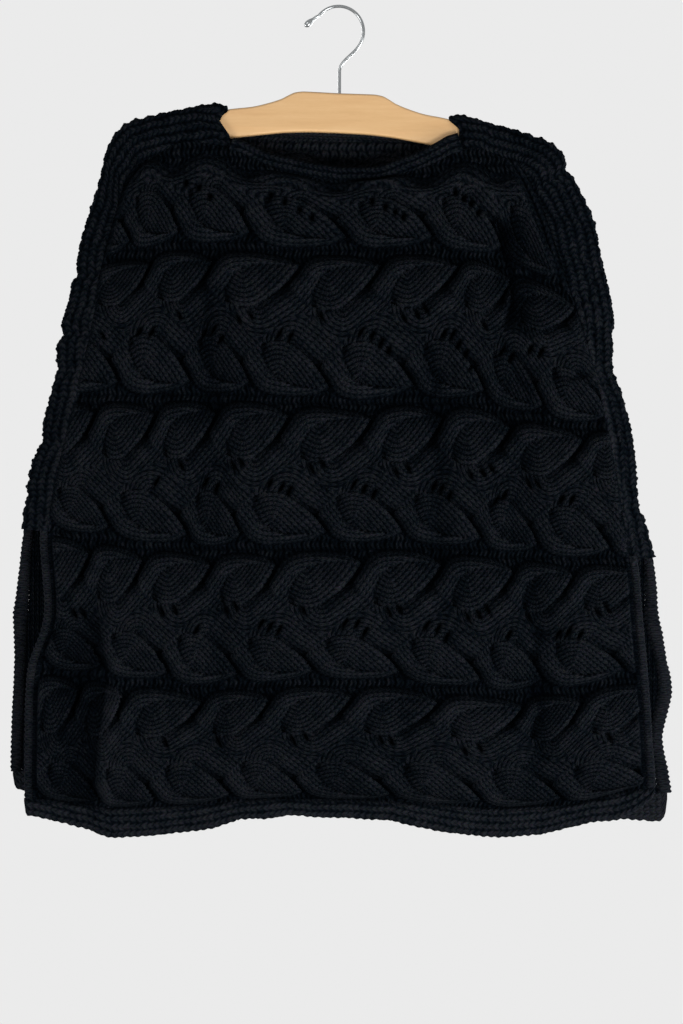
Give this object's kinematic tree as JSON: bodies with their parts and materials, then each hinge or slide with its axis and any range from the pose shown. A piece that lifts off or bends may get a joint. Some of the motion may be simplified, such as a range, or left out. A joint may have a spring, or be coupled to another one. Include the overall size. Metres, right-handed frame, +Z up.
{
  "type": "cable-knit poncho on a wooden hanger",
  "caption": "Boxy sleeveless poncho in chunky braided cable knit with a wide neck and open lower sides, hanging flat on a wooden hanger with a wire hook.",
  "frame": {"origin": "inside of the hook's top, where it rests on a peg or rail", "axes": "+X to the right as seen from the front, +Y to the back of the garment, +Z up"},
  "size_m": [0.6586, 0.0893, 0.8302],
  "materials": {
    "wool": "matt",
    "hanger_wood": "satin lacquer",
    "hanger_wire": "polished"
  },
  "bodies": {
    "root": {"front_panel": "wool", "back_panel": "wool", "front_neckband": "wool", "back_neckband": "wool", "side_band_left": "wool", "side_band_right": "wool", "front_hem_band": "wool", "back_hem_band": "wool", "front_vent_border_left": "wool", "front_vent_border_right": "wool", "back_vent_border_left": "wool", "back_vent_border_right": "wool", "hanger_board": "hanger_wood", "hanger_hook": "hanger_wire"}
  },
  "joints": []
}
